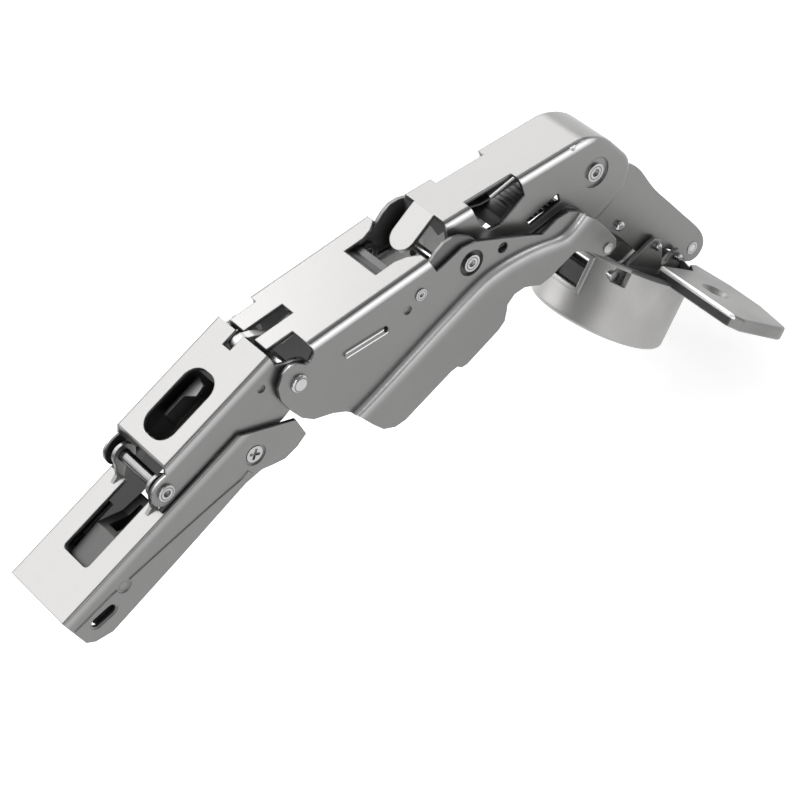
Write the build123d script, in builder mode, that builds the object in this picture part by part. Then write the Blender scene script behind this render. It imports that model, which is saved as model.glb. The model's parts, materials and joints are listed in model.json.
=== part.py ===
from build123d import *
import os
from math import atan2, cos, degrees, dist, radians, sin

# Wide-angle concealed cup hinge, shown opened flat.
# Frame: x along the arm towards the cup, z up from the seat of the base, y = 0 on the middle plane.
# All lengths in millimetres.

# Pivots seen from the side, as (x, z)
armPivot = (0.0, 20.8)
kneePivot = (36.5, 15.2)
crossPivot = (82.9, -0.5)
linkPivot = (119.7, -15.9)
cupPivot = (130.9, -66.3)
hookPivot = (34.3, 23.6)
tailPivot = (78.6, -1.15)
armEnd = (110.6, -31.4)

# Sheet thicknesses
sheet = 1.1
thinSheet = 0.9

# Half widths of the nested channels, from the outside inwards
sideGap = 0.3
kneeGap = 0.6
linkGap = 0.4
armHalf = 9.4
scissorHalf = 7.5
baseHalf = armHalf + sideGap + thinSheet
kneeHalf = armHalf + kneeGap + sheet
kneeLowHalf = kneeHalf + 1.8
plateHalf = scissorHalf - sheet - sideGap
linkStripHalf = scissorHalf - sheet - linkGap
earHalf = plateHalf - sheet - linkGap
outerEarHalf = plateHalf + 1.8
springPlate = 1.0
springWire = 0.8

# Running clearance of a pin in its hole, on the radius
pinPlay = 0.05
eyePlay = 0.1

# Pins by radius
armPinRadius = 1.5
kneePinRadius = 2.0
crossPinRadius = 1.6
linkPinRadius = 2.0
cupPinRadius = 1.6
tailRadius = 1.1
hookPinRadius = 0.9

# Base: top opening, release pin, side-adjust screw
openingRear = -23.5
openingHalf = 4.6
releasePivot = (-20.6, 11.2)
releasePinRadius = 1.2
crossScrewPlace = (19.1, 8.6)
crossScrewRadius = 2.1

# Arm: window, hook beside the middle, depth screw
windowMiddle = 15.7
windowLength = 18.4
windowWidth = 9.5
hookShift = 1.2
hookEarInner = 1.3
hookEar = 0.4
depthScrewX = 11.6

# Knuckle: slit at the rear, window in front, spring anchor
slitEnd = 47.0
slitHalf = 2.0
kneeWindowStart = 65.3
kneeWindowHalf = 5.6
springAnchor = (69.5, 5.1)

# Scissor link: rear tongue
tongueHalf = 3.5
tongueEnd = 73.3

# Cup link: stud through both plates
plateStud = (118.0, -37.6)
plateStudRadius = 1.3

# Cup: drilled bore, depth below the door face and tilt in the opened pose
cupRadius = 17.5
cupDepth = 17.4
cupWall = 1.0
cupTilt = 28.6
rimWidth = 0.8
axlePlace = (-13.8, 15.0)
axleRadius = 1.4
cupFloor = (102.55, -64.1)
wingTop = 20.5
screwHalfPitch = 24.0
screwOffset = 6.5


def sideSketch(distance):
    # Drawing plane parallel to the side of the hinge, at y = -distance
    return Plane.XZ.offset(distance)


def topLine(point, slope):
    # Height of a sloping sheet edge as a function of x
    return lambda x: point[1] + (x - point[0]) * slope


def cupPoint(e, h):
    # Point of the cup in the side view: e across the mouth away from the arm, h up from the floor
    c = cos(radians(cupTilt))
    s = sin(radians(cupTilt))
    return (cupFloor[0] + e * s + h * c, cupFloor[1] - e * c + h * s)


cupFrame = Plane(
    origin=(cupFloor[0], 0, cupFloor[1]),
    x_dir=(sin(radians(cupTilt)), 0, -cos(radians(cupTilt))),
    z_dir=(cos(radians(cupTilt)), 0, sin(radians(cupTilt))),
)


def cupDirection(e, h):
    # Direction in the side view given in the cup's own e and h
    tip = cupPoint(e, h)
    foot = cupPoint(0, 0)
    return (tip[0] - foot[0], tip[1] - foot[1])


# Axle flats of the cup, damper pin and the small pins of the bracket
axleFlat = 9.9
damperPinRadius = 2.1
bracketPinRadius = 1.0
bracketPinPlaces = [cupPoint(-1.4, 23.6), cupPoint(8.2, 21.8)]

# Outlines of the channels in the side view
baseTop = 17.0
baseOutline = [
    (-35.2, baseTop), (-35.1, 7.2), (-33.6, 5.2), (-29.5, 3.2), (-7.0, 3.7), (13.3, 4.4), (17.9, 3.6),
    (20.7, 1.7), (23.2, 0.2), (26.9, 0.0), (30.3, 0.8), (30.7, 6.6), (19.2, baseTop),
]
armTop = 26.3
armOutline = [
    (3.9, armTop), (2.6, 24.2), (0.6, 24.4), (-2.4, 23.4), (-3.7, 20.8), (-2.6, 18.2), (-0.2, 17.1),
    (3.0, 17.4), (12.0, 17.0), (18.0, 15.6), (26.0, 9.4), (31.0, 9.0), (35.4, 10.2), (40.6, 12.8),
    (41.2, 16.4), (39.4, 19.2), (37.4, 20.6), (35.6, 22.6), (35.6, armTop),
]
kneeSlope = -0.321
kneeTop = topLine((40.4, 22.4), kneeSlope)
kneeOutline = [
    (36.9, kneeTop(36.9)), (42.0, kneeTop(42.0)), (75.4, kneeTop(75.4)), (75.4, 6.3), (83.3, 5.5),
    (86.6, 3.3), (90.0, -0.6), (97.9, -9.8), (99.9, -12.4), (105.0, -12.6), (108.1, -13.9),
    (110.4, -17.0), (112.1, -21.5), (113.2, -27.5), (113.5, -31.6), (112.4, -33.6), (110.2, -33.9),
    (108.4, -32.4), (107.6, -30.3), (105.8, -26.4), (103.6, -23.3), (95.2, -22.9), (92.4, -22.2),
    (90.7, -20.2), (89.0, -18.4), (86.2, -17.4), (83.4, -18.1), (82.3, -19.6), (80.6, -21.5),
    (78.3, -22.1), (67.7, -22.1), (66.2, -21.5), (65.5, -20.1), (63.7, -19.6), (48.6, -19.3),
    (45.8, -18.3), (43.5, -15.7), (42.4, -11.8), (41.4, -6.8), (40.0, -3.6), (37.6, -0.6),
    (33.6, 2.8), (31.9, 6.2), (31.2, 10.5), (31.1, 15.2), (32.4, 18.8), (34.6, 20.4),
]
# Line below which the knuckle sides stand further out
kneeStep = [
    (38.0, -5.2), (60.7, -5.6), (77.6, -5.8), (83.3, -6.3), (88.9, -8.1), (94.5, -10.9), (100.2, -14.8),
    (103.6, -17.0), (108.6, -17.0), (116.0, -17.0),
]
scissorSlope = -0.419
scissorTop = topLine((113.2, -0.9), scissorSlope)
scissorOutline = [
    (84.4, scissorTop(84.4)), (119.5, scissorTop(119.5)), (122.6, -5.6), (125.6, -9.4), (127.3, -14.0),
    (128.4, -19.6), (128.0, -23.6), (125.1, -26.8), (120.5, -28.5), (114.8, -28.9), (112.8, -25.3),
    (111.7, -20.8), (110.3, -17.3), (108.0, -15.7), (99.4, -13.7), (92.0, -9.0), (84.0, -6.6),
    (78.6, -6.2), (74.6, -3.2), (74.2, 1.0), (77.2, 4.2), (82.4, 6.4),
]
plateOutline = [
    (119.7, -10.9), (123.2, -12.3), (124.7, -15.9), (126.2, -21.0), (128.9, -26.0), (130.2, -36.3),
    (131.9, -46.6), (133.4, -54.6), (134.7, -61.5), (134.9, -65.4), (133.6, -69.0), (130.9, -70.2),
    (128.3, -69.0), (127.2, -65.6), (126.4, -61.5), (124.4, -57.4), (121.4, -54.2), (118.6, -50.6),
    (117.4, -45.5), (116.2, -39.7), (114.7, -34.4), (114.3, -29.0), (114.7, -22.0), (114.7, -15.9),
    (116.2, -12.3),
]


# Outline points further apart than this are joined by a straight edge, and sharper turns stay corners
longEdge = 5.5
sharpTurn = 50


def edgeAngle(start, end):
    # Direction of an edge in degrees
    return degrees(atan2(end[1] - start[1], end[0] - start[0]))


def smoothOutline(points):
    # Straight where the points lie far apart, one smooth curve through those that lie close together
    count = len(points)
    angles = [edgeAngle(points[i], points[(i + 1) % count]) for i in range(count)]
    far = [dist(points[i], points[(i + 1) % count]) > longEdge for i in range(count)]
    turns = [abs((angles[i] - angles[i - 1] + 180) % 360 - 180) for i in range(count)]
    breaks = [i for i in range(count) if turns[i] > sharpTurn or far[i] or far[i - 1]]
    for place, first in enumerate(breaks):
        last = breaks[(place + 1) % len(breaks)]
        if last <= first:
            last += count
        run = [points[i % count] for i in range(first, last + 1)]
        if len(run) == 2:
            Line(run[0], run[1])
            continue
        startAngle = angles[first % count] if turns[first] > sharpTurn else angles[first - 1]
        endAngle = angles[(last - 1) % count] if turns[last % count] > sharpTurn else angles[last % count]
        ends = [(cos(radians(angle)), sin(radians(angle))) for angle in (startAngle, endAngle)]
        Spline(run, tangents=ends)


def sheared(points, drop):
    # The same outline moved down by the sheet thickness for the inside of a channel
    return [(x, z - drop) for x, z in points]


# The base's lugs stand just inside the ears of the arm
lugMiddle = armHalf - sheet - sideGap - 0.5 - 0.9

# Base channel that clips over the mounting plate
with BuildPart() as baseChannel:
    with BuildSketch(sideSketch(0)):
        with BuildLine():
            Polyline(baseOutline, close=True)
        make_face()
    extrude(amount=baseHalf, both=True)
    topEdges = baseChannel.edges().filter_by(Axis.X).filter_by(
        lambda edge: abs(edge.center().Z - baseTop) < 0.01)
    fillet(topEdges, radius=0.8)
    # inside of the channel, open downwards
    with BuildSketch(sideSketch(0)):
        with Locations((0, -10 + baseTop - thinSheet)):
            Rectangle(120, 20, align=(Align.CENTER, Align.CENTER))
    extrude(amount=baseHalf - thinSheet, both=True, mode=Mode.SUBTRACT)
    # the top ends where the arm begins, and a long opening lies over the release lever
    with BuildSketch(Plane.XY.offset(baseTop + 1)):
        with Locations((13.4, 0)):
            Rectangle(34, 2 * armHalf + 2 * sideGap)
        with Locations((openingRear, 0)):
            Rectangle(40, 2 * openingHalf, align=(Align.MIN, Align.CENTER))
    extrude(amount=-3, mode=Mode.SUBTRACT)
    rearCorners = baseChannel.edges().filter_by(Axis.Z).filter_by(
        lambda edge: abs(edge.center().X - openingRear) < 0.01)
    fillet(rearCorners, radius=1.2)
    # rear slots, cross-head holes and the raised lower field of the sides
    with BuildSketch(sideSketch(baseHalf + 1)):
        with Locations((-28.3, 9.2)):
            SlotOverall(6.6, 2.6, rotation=-8)
        with Locations(crossScrewPlace):
            Circle(crossScrewRadius + pinPlay)
        with Locations(releasePivot):
            Circle(releasePinRadius)
    extrude(amount=-2 * baseHalf - 2, mode=Mode.SUBTRACT)
    for side in (-1, 1):
        with BuildSketch(sideSketch(side * baseHalf)):
            with Locations(crossScrewPlace):
                Circle(crossScrewRadius + 0.6)
        extrude(amount=0.4, both=True, mode=Mode.SUBTRACT)
    with BuildSketch(sideSketch(baseHalf)):
        with BuildLine():
            Polyline([
                (-34.7, 12.6), (-23.9, 12.1), (-7.0, 9.8), (6.6, 7.8), (13.3, 6.6), (15.6, 6.8), (15.9, 5.0),
                (13.0, 5.2), (-7.0, 4.3), (-29.3, 3.8), (-33.2, 5.7), (-34.6, 7.4),
            ], close=True)
        make_face()
        with Locations((-28.3, 9.2)):
            SlotOverall(7.4, 3.4, rotation=-8, mode=Mode.SUBTRACT)
        with Locations(releasePivot):
            Circle(1.8, mode=Mode.SUBTRACT)
    extrude(amount=0.25)
    mirror(about=Plane.XZ)
    # lugs that carry the arm pin, standing on the two front strips
    for side in (-1, 1):
        with BuildSketch(sideSketch(side * lugMiddle)):
            with BuildLine():
                Polyline([
                    (-8.6, baseTop - thinSheet), (-3.5, baseTop - thinSheet), (-1.6, 18.0), armPivot,
                    (-2.9, armPivot[1]), (-4.4, baseTop + 0.8),
                ], close=True)
            make_face()
            with Locations(armPivot):
                Circle(2.9)
                Circle(armPinRadius + pinPlay, mode=Mode.SUBTRACT)
        extrude(amount=0.5, both=True)
baseChannel.part.label = "base_channel"

# Release lever inside the rear of the base, with its pin and spring
with BuildPart() as releaseLever:
    with BuildSketch(sideSketch(0)):
        with BuildLine():
            Polyline([
                (-30.6, 4.6), (-31.2, 8.4), (-25.6, 14.6), (-14.6, 15.2), (-9.0, 11.6), (-3.6, 11.0),
                (-3.6, 8.6), (-11.0, 8.2), (-18.0, 4.4),
            ], close=True)
        make_face()
        with Locations(releasePivot):
            Circle(releasePinRadius + pinPlay, mode=Mode.SUBTRACT)
    extrude(amount=openingHalf - 0.8, both=True)
    fillet(releaseLever.edges().filter_by(Axis.Y), radius=0.5)
    # wide rear end behind the slots of the base
    with BuildSketch(sideSketch(0)):
        with BuildLine():
            Polyline([(-30.4, 4.9), (-31.0, 8.4), (-28.6, 10.8), (-24.4, 10.8), (-24.4, 4.9)], close=True)
        make_face()
    extrude(amount=baseHalf - thinSheet - 0.6, both=True)
    # thumb hollow and lightening slot seen through the base
    with BuildSketch(Plane.XY.offset(20)):
        with Locations((-9.4, 0)):
            Rectangle(7.6, 3.0)
    extrude(amount=-9.6, mode=Mode.SUBTRACT)
releaseLever.part.label = "release_lever"

with BuildPart() as releasePin:
    with Locations((releasePivot[0], 0, releasePivot[1])):
        Cylinder(releasePinRadius, 2 * baseHalf, rotation=(90, 0, 0))
releasePin.part.label = "release_pin"

with BuildPart() as releaseSpring:
    for side in (-1, 1):
        with BuildSketch(sideSketch(side * (openingHalf + 1.6))):
            with Locations(releasePivot):
                Circle(3.0)
                Circle(releasePinRadius + eyePlay, mode=Mode.SUBTRACT)
            with Locations((releasePivot[0] + 6.6, releasePivot[1] + 2.3)):
                Rectangle(9.0, 0.9)
        extrude(amount=0.8, both=True)
releaseSpring.part.label = "release_spring"

# Eccentric cross-head screw that tilts the arm in the base
with BuildPart() as crossScrew:
    with Locations((crossScrewPlace[0], 0, crossScrewPlace[1])):
        Cylinder(crossScrewRadius, 2 * baseHalf - 0.5, rotation=(90, 0, 0))
    for side in (-1, 1):
        with BuildSketch(sideSketch(side * (baseHalf - 0.25))):
            with Locations(crossScrewPlace):
                Rectangle(2.8, 0.7, rotation=40)
                Rectangle(0.7, 2.8, rotation=40)
        extrude(amount=0.8, both=True, mode=Mode.SUBTRACT)
crossScrew.part.label = "cross_head_screw"

# Arm channel that carries the folding links
with BuildPart() as armChannel:
    with BuildSketch(sideSketch(0)):
        with BuildLine():
            smoothOutline(armOutline)
        make_face()
    extrude(amount=armHalf, both=True)
    longEdges = armChannel.edges().filter_by(Axis.X).filter_by(
        lambda edge: abs(edge.center().Z - armTop) < 0.01)
    fillet(longEdges, radius=1.0)
    with BuildSketch(sideSketch(0)):
        with BuildLine():
            Polyline([(-10, -5), (-10, armTop - sheet), (50, armTop - sheet), (50, -5)], close=True)
        make_face()
    extrude(amount=armHalf - sheet, both=True, mode=Mode.SUBTRACT)
    # window over the adjuster, with round corners, and the notch for the link hook
    with BuildSketch(Plane.XY.offset(armTop + 1)):
        with Locations((windowMiddle, 0)):
            RectangleRounded(windowLength, windowWidth, 4.0)
        with Locations((hookPivot[0] - 0.3, hookShift)):
            Rectangle(5.2, 2 * hookEarInner + 0.2)
    extrude(amount=-3, mode=Mode.SUBTRACT)
    # lip bent down along the rear edge
    with BuildSketch(sideSketch(0)):
        with Locations((3.9, armTop - sheet + 0.1)):
            Rectangle(sheet, 3.2, align=(Align.MIN, Align.MAX))
    extrude(amount=armHalf - 0.3, both=True)
    # two tabs bent down beside the notch hold the hook pin
    for side in (-1, 1):
        with BuildSketch(sideSketch(side * (hookEarInner + hookEar / 2) - hookShift)):
            with Locations((hookPivot[0], (hookPivot[1] + armTop - 0.5) / 2)):
                Rectangle(3.4, armTop - 0.5 - hookPivot[1])
            with Locations(hookPivot):
                Circle(1.7)
                Circle(hookPinRadius, mode=Mode.SUBTRACT)
        extrude(amount=hookEar / 2, both=True)
    with BuildSketch(sideSketch(armHalf + 1)):
        with Locations(armPivot):
            Circle(armPinRadius)
        with Locations(kneePivot):
            Circle(kneePinRadius + pinPlay)
    extrude(amount=-2 * armHalf - 2, mode=Mode.SUBTRACT)
    for side in (-1, 1):
        with BuildSketch(sideSketch(side * armHalf)):
            with Locations((29.9, 20.8)):
                Circle(1.0)
        extrude(amount=0.5, both=True, mode=Mode.SUBTRACT)
armChannel.part.label = "arm_channel"

# Pin that joins arm and base, with a hollow rivet head on each side
with BuildPart() as armPin:
    with Locations((armPivot[0], 0, armPivot[1])):
        Cylinder(armPinRadius, 2 * armHalf, rotation=(90, 0, 0))
    for side in (-1, 1):
        with BuildSketch(sideSketch(side * (armHalf + 0.35))):
            with Locations(armPivot):
                Circle(2.1)
        extrude(amount=0.35, both=True)
    headRims = armPin.edges().filter_by(GeomType.CIRCLE).filter_by(
        lambda edge: abs(edge.center().Y) > armHalf + 0.6)
    fillet(headRims, radius=0.3)
    for side in (-1, 1):
        with BuildSketch(sideSketch(side * (armHalf + 0.7))):
            with Locations(armPivot):
                Circle(0.9)
        extrude(amount=0.9, both=True, mode=Mode.SUBTRACT)
armPin.part.label = "arm_pin"

# Adjuster under the window of the arm: a floor with a standing fin and a tab, and its screw
adjusterFloor = 17.4
with BuildPart() as adjusterBracket:
    with BuildSketch(Plane.XY.offset(adjusterFloor)):
        with Locations((windowMiddle, 0)):
            Rectangle(windowLength - 1.0, 2 * (armHalf - sheet))
    extrude(amount=0.9)
    with BuildSketch(Plane.XY.offset(adjusterFloor)):
        with Locations((windowMiddle + 0.6, windowWidth / 2 - 0.9)):
            Rectangle(8.4, 0.9)
    extrude(amount=5.6)
    with BuildSketch(Plane.XY.offset(adjusterFloor + 4.8)):
        with BuildLine():
            Polyline([
                (windowMiddle + 1.6, windowWidth / 2 - 0.5), (windowMiddle + 7.4, windowWidth / 2 - 0.5),
                (windowMiddle + 6.6, windowWidth / 2 - 3.4), (windowMiddle + 3.8, windowWidth / 2 - 4.0),
            ], close=True)
        make_face()
    extrude(amount=0.8)
    with BuildSketch(Plane.XY.offset(adjusterFloor - 1)):
        with Locations((depthScrewX, -1.4)):
            Circle(1.9 + pinPlay)
    extrude(amount=3, mode=Mode.SUBTRACT)
adjusterBracket.part.label = "adjuster_bracket"

with BuildPart() as adjusterScrew:
    with BuildSketch(Plane.XY.offset(adjusterFloor - 2.2)):
        with Locations((depthScrewX, -1.4)):
            Circle(1.9)
    extrude(amount=3.4)
    with BuildSketch(Plane.XY.offset(adjusterFloor + 1.1)):
        with Locations((depthScrewX, -1.4)):
            Circle(2.8)
    extrude(amount=0.9)
    with BuildSketch(Plane.XY.offset(adjusterFloor + 2.0)):
        with Locations((depthScrewX, -1.4)):
            Rectangle(3.8, 0.8)
            Rectangle(0.8, 3.8)
    extrude(amount=-0.7, mode=Mode.SUBTRACT)
adjusterScrew.part.label = "adjuster_screw"

with BuildPart() as hookPin:
    with Locations((hookPivot[0], hookShift, hookPivot[1])):
        Cylinder(hookPinRadius, 2 * (hookEarInner + hookEar), rotation=(90, 0, 0))
hookPin.part.label = "hook_pin"

springPinRadius = 1.5
endStudRadius = 1.3

# Outer knuckle: long channel with side arms that reach to the cup
with BuildPart() as outerKnuckle:
    with BuildSketch(sideSketch(0)):
        with BuildLine():
            Polyline(kneeOutline, close=True)
        make_face()
    extrude(amount=kneeHalf, both=True)
    foldEdges = outerKnuckle.edges().filter_by(
        lambda edge: edge.length > 20 and edge.center().Z > 10 and abs(edge.center().Y) > kneeHalf - 0.01)
    fillet(foldEdges, radius=1.3)
    # lower field of the sides stands further out
    with BuildSketch(sideSketch(0)):
        with BuildLine():
            Spline(kneeStep)
            Polyline([kneeStep[-1], (130, -60), (30, -60), kneeStep[0]])
        make_face()
        with BuildLine():
            Polyline(kneeOutline, close=True)
        make_face(mode=Mode.INTERSECT)
    extrude(amount=kneeLowHalf, both=True)
    stepEdges = outerKnuckle.edges().filter_by(
        lambda edge: edge.length > 50 and abs(edge.center().Y) > kneeLowHalf - 0.01 and edge.center().Z > -12)
    fillet(stepEdges, radius=1.6)
    # inside of the channel
    with BuildSketch(sideSketch(0)):
        with BuildLine():
            Polyline([
                (20, kneeTop(20) - sheet), (90, kneeTop(90) - sheet), (130, -2), (130, -60), (20, -60),
            ], close=True)
        make_face()
    extrude(amount=kneeHalf - sheet, both=True, mode=Mode.SUBTRACT)
    with BuildSketch(sideSketch(0)):
        with BuildLine():
            Spline(sheared(kneeStep, 1.6))
            Polyline([
                (kneeStep[-1][0], kneeStep[-1][1] - 1.6), (130, -60), (30, -60),
                (kneeStep[0][0], kneeStep[0][1] - 1.6),
            ])
        make_face()
    extrude(amount=kneeLowHalf - sheet, both=True, mode=Mode.SUBTRACT)
    # window in front, slit at the rear
    with BuildSketch(Plane.XY.offset(40)):
        with BuildLine():
            Polyline([
                (kneeWindowStart, kneeWindowHalf), (70.4, kneeWindowHalf), (73.0, kneeWindowHalf + 0.9),
                (75.0, kneeWindowHalf + 2.5), (76.4, kneeWindowHalf + 4.2), (90.0, kneeWindowHalf + 4.2),
                (90.0, -kneeWindowHalf - 4.2), (76.4, -kneeWindowHalf - 4.2), (75.0, -kneeWindowHalf - 2.5),
                (73.0, -kneeWindowHalf - 0.9), (70.4, -kneeWindowHalf), (kneeWindowStart, -kneeWindowHalf),
            ], close=True)
        make_face()
        with Locations((slitEnd, hookShift)):
            Rectangle(20.0, 2 * slitHalf, align=(Align.MAX, Align.CENTER))
    extrude(amount=-80, mode=Mode.SUBTRACT)
    with BuildSketch(sideSketch(0)):
        with BuildLine():
            Polyline([
                (64.0, kneeTop(64.0) - 0.1), (65.2, kneeTop(65.2) - 0.1), (66.0, kneeTop(66.0) - 0.9),
                (67.4, kneeTop(67.4) - 1.7), (69.0, kneeTop(69.0) - 1.6), (69.0, kneeTop(69.0) - 2.6),
                (67.2, kneeTop(67.2) - 2.7), (65.4, kneeTop(65.4) - 1.8), (64.0, kneeTop(64.0) - 1.0),
            ], close=True)
        make_face()
    extrude(amount=kneeWindowHalf, both=True)
    # corner reliefs between the ears and the top
    for side, reliefWidth in ((1, 6.0), (-1, 2.8)):
        with BuildSketch(sideSketch(side * kneeHalf)):
            with BuildLine():
                Polyline([
                    (34.0, 26.5), (34.0, 20.9), (37.6, 20.9), (39.2, 19.6), (40.2, 17.6), (41.5, 17.1),
                    (43.0, 17.8), (43.7, 19.2), (43.7, 26.5),
                ], close=True)
            make_face()
        extrude(amount=reliefWidth, both=True, mode=Mode.SUBTRACT)
    # dishes round the crossing pivot
    for side in (-1, 1):
        with BuildSketch(sideSketch(side * kneeHalf)):
            with Locations(crossPivot):
                Circle(3.3)
        extrude(amount=0.6, both=True, mode=Mode.SUBTRACT)
        # stiffening bead and small dimple
        with BuildSketch(sideSketch(side * kneeHalf)):
            with Locations((53.4, 7.8)):
                SlotOverall(12.4, 1.7, rotation=-22.5)
        extrude(amount=0.4, both=True)
        with BuildSketch(sideSketch(side * kneeHalf)):
            with Locations((65.0, 4.6)):
                Circle(1.1)
        extrude(amount=0.5, both=True, mode=Mode.SUBTRACT)
    with BuildSketch(sideSketch(kneeLowHalf + 1)):
        with Locations(kneePivot):
            Circle(kneePinRadius)
        with Locations(crossPivot):
            Circle(crossPinRadius)
        with Locations(springAnchor):
            Circle(springPinRadius)
        with Locations((90.7, -5.0)):
            Circle(1.4)
        with Locations((58.5, 6.1)):
            Circle(0.65)
        with Locations(armEnd):
            Circle(endStudRadius)
    extrude(amount=-2 * kneeLowHalf - 2, mode=Mode.SUBTRACT)
outerKnuckle.part.label = "outer_knuckle"

with BuildPart() as kneePin:
    with Locations((kneePivot[0], 0, kneePivot[1])):
        Cylinder(kneePinRadius, 2 * kneeHalf, rotation=(90, 0, 0))
    for side in (-1, 1):
        with BuildSketch(sideSketch(side * (kneeHalf + 0.5))):
            with Locations(kneePivot):
                Circle(kneePinRadius + 0.3)
        extrude(amount=0.5, both=True)
    domes = kneePin.edges().filter_by(GeomType.CIRCLE).filter_by(
        lambda edge: abs(edge.center().Y) > kneeHalf + 0.9)
    fillet(domes, radius=0.9)
kneePin.part.label = "knee_pin"

# Plates inside the knuckle that guide the closing springs
with BuildPart() as springPlates:
    for side in (-1, 1):
        with BuildSketch(sideSketch(side * (kneeHalf - sheet - springPlate / 2))):
            with BuildLine():
                Polyline([
                    (66.2, 5.4), (67.6, 8.0), (71.0, 8.3), (75.0, 8.5), (78.2, 9.6), (80.7, 9.8), (83.0, 8.9),
                    (84.8, 7.4), (86.6, 4.4), (87.6, 0.0), (86.6, -3.4), (83.6, -5.0), (79.6, -4.6),
                    (70.0, 1.4), (67.0, 2.8),
                ], close=True)
            make_face()
            with Locations(crossPivot):
                Circle(crossPinRadius, mode=Mode.SUBTRACT)
            with Locations(springAnchor):
                Circle(springPinRadius, mode=Mode.SUBTRACT)
        extrude(amount=springPlate / 2, both=True)
springPlates.part.label = "spring_plates"

# Stub rivets of the crossing pivot, one in each side, with a washer beside the scissor link
rivetInner = scissorHalf - sheet
rivetOuter = kneeHalf - 0.1
washerInner = scissorHalf + 0.1
washerOuter = kneeHalf - sheet - springPlate
with BuildPart() as crossRivets:
    for side in (-1, 1):
        with BuildSketch(sideSketch(side * (rivetInner + rivetOuter) / 2)):
            with Locations(crossPivot):
                Circle(crossPinRadius)
        extrude(amount=(rivetOuter - rivetInner) / 2, both=True)
        with BuildSketch(sideSketch(side * (washerInner + washerOuter) / 2)):
            with Locations(crossPivot):
                Circle(2.4)
        extrude(amount=(washerOuter - washerInner) / 2, both=True)
        with BuildSketch(sideSketch(side * (kneeHalf - 0.15))):
            with Locations(crossPivot):
                Circle(crossPinRadius + 0.5)
        extrude(amount=0.4, both=True)
        with BuildSketch(sideSketch(side * (kneeHalf + 0.25))):
            with Locations(crossPivot):
                Circle(0.9)
        extrude(amount=0.6, both=True, mode=Mode.SUBTRACT)
crossRivets.part.label = "cross_rivets"

# Small pins that anchor the closing springs, and the springs that lie between link and plate
springMiddle = (scissorHalf + washerOuter) / 2
with BuildPart() as springPins:
    for side in (-1, 1):
        pinInner = springMiddle - springWire / 2
        pinOuter = kneeHalf + 0.3
        with BuildSketch(sideSketch(side * (pinInner + pinOuter) / 2)):
            with Locations(springAnchor):
                Circle(springPinRadius)
        extrude(amount=(pinOuter - pinInner) / 2, both=True)
        with BuildSketch(sideSketch(side * pinOuter)):
            with Locations(springAnchor):
                Circle(0.6)
        extrude(amount=0.4, both=True, mode=Mode.SUBTRACT)
springPins.part.label = "spring_pins"

with BuildPart() as closingSprings:
    for side in (-1, 1):
        with BuildSketch(sideSketch(side * springMiddle)):
            with Locations(springAnchor):
                Circle(springPinRadius + 1.3)
            with BuildLine():
                Polyline([(51.0, 2.0), (51.0, 3.2), (69.6, 7.9), (69.6, 6.7)], close=True)
            make_face()
            with BuildLine():
                Polyline([(69.6, 2.3), (69.6, 3.4), (86.0, -5.4), (86.0, -6.6)], close=True)
            make_face()
            with Locations(springAnchor):
                Circle(springPinRadius, mode=Mode.SUBTRACT)
        extrude(amount=springWire / 2, both=True)
closingSprings.part.label = "closing_springs"

# Short rivets at the ends of the knuckle arms
with BuildPart() as armEndStuds:
    for side in (-1, 1):
        with BuildSketch(sideSketch(side * (kneeLowHalf - 0.35))):
            with Locations(armEnd):
                Circle(endStudRadius)
        extrude(amount=0.75, both=True)
armEndStuds.part.label = "arm_end_studs"

# Hidden link between arm and scissor link. Its slot lets the tail pin slide a little across the link.
slotPlay = 0.22
slotTravel = 0.85
slotShift = 0.72
linkAngle = degrees(atan2(tailPivot[1] - hookPivot[1], tailPivot[0] - hookPivot[0]))
linkSlot = (
    tailPivot[0] + slotShift * sin(radians(linkAngle)),
    tailPivot[1] - slotShift * cos(radians(linkAngle)),
)
with BuildPart() as innerLink:
    with BuildSketch(sideSketch(-hookShift)):
        with BuildLine():
            Polyline([
                (32.6, 22.4), (33.2, 25.1), (35.2, 25.4), (37.6, 23.4), (41.4, 18.4), (48.5, 17.6),
                (51.0, 16.4), (51.0, 12.2), (46.0, 13.9), (41.0, 14.8), (38.3, 18.0), (35.0, 21.6),
            ], close=True)
        make_face()
        with Locations(hookPivot):
            Circle(2.1)
            Circle(hookPinRadius + eyePlay, mode=Mode.SUBTRACT)
    extrude(amount=hookEarInner - 0.15, both=True)
    with BuildSketch(sideSketch(0)):
        with BuildLine():
            Polyline([(47.6, 16.2), (51.0, 14.3), (50.4, 13.2), (47.0, 15.1)], close=True)
        make_face()
    extrude(amount=linkStripHalf, both=True)
    for side in (-1, 1):
        with BuildSketch(sideSketch(side * (linkStripHalf - 0.5))):
            with BuildLine():
                Polyline([
                    (47.4, 17.2), (60.0, 9.2), (68.0, 4.8), (79.0, 0.2), (77.4, -3.2), (47.0, 13.4),
                ], close=True)
            make_face()
            with Locations(linkSlot):
                SlotCenterToCenter(2 * slotTravel, 2 * 2.6, rotation=linkAngle + 90)
                SlotCenterToCenter(
                    2 * slotTravel, 2 * (tailRadius + slotPlay), rotation=linkAngle + 90, mode=Mode.SUBTRACT)
        extrude(amount=0.5, both=True)
innerLink.part.label = "inner_link"

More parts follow.
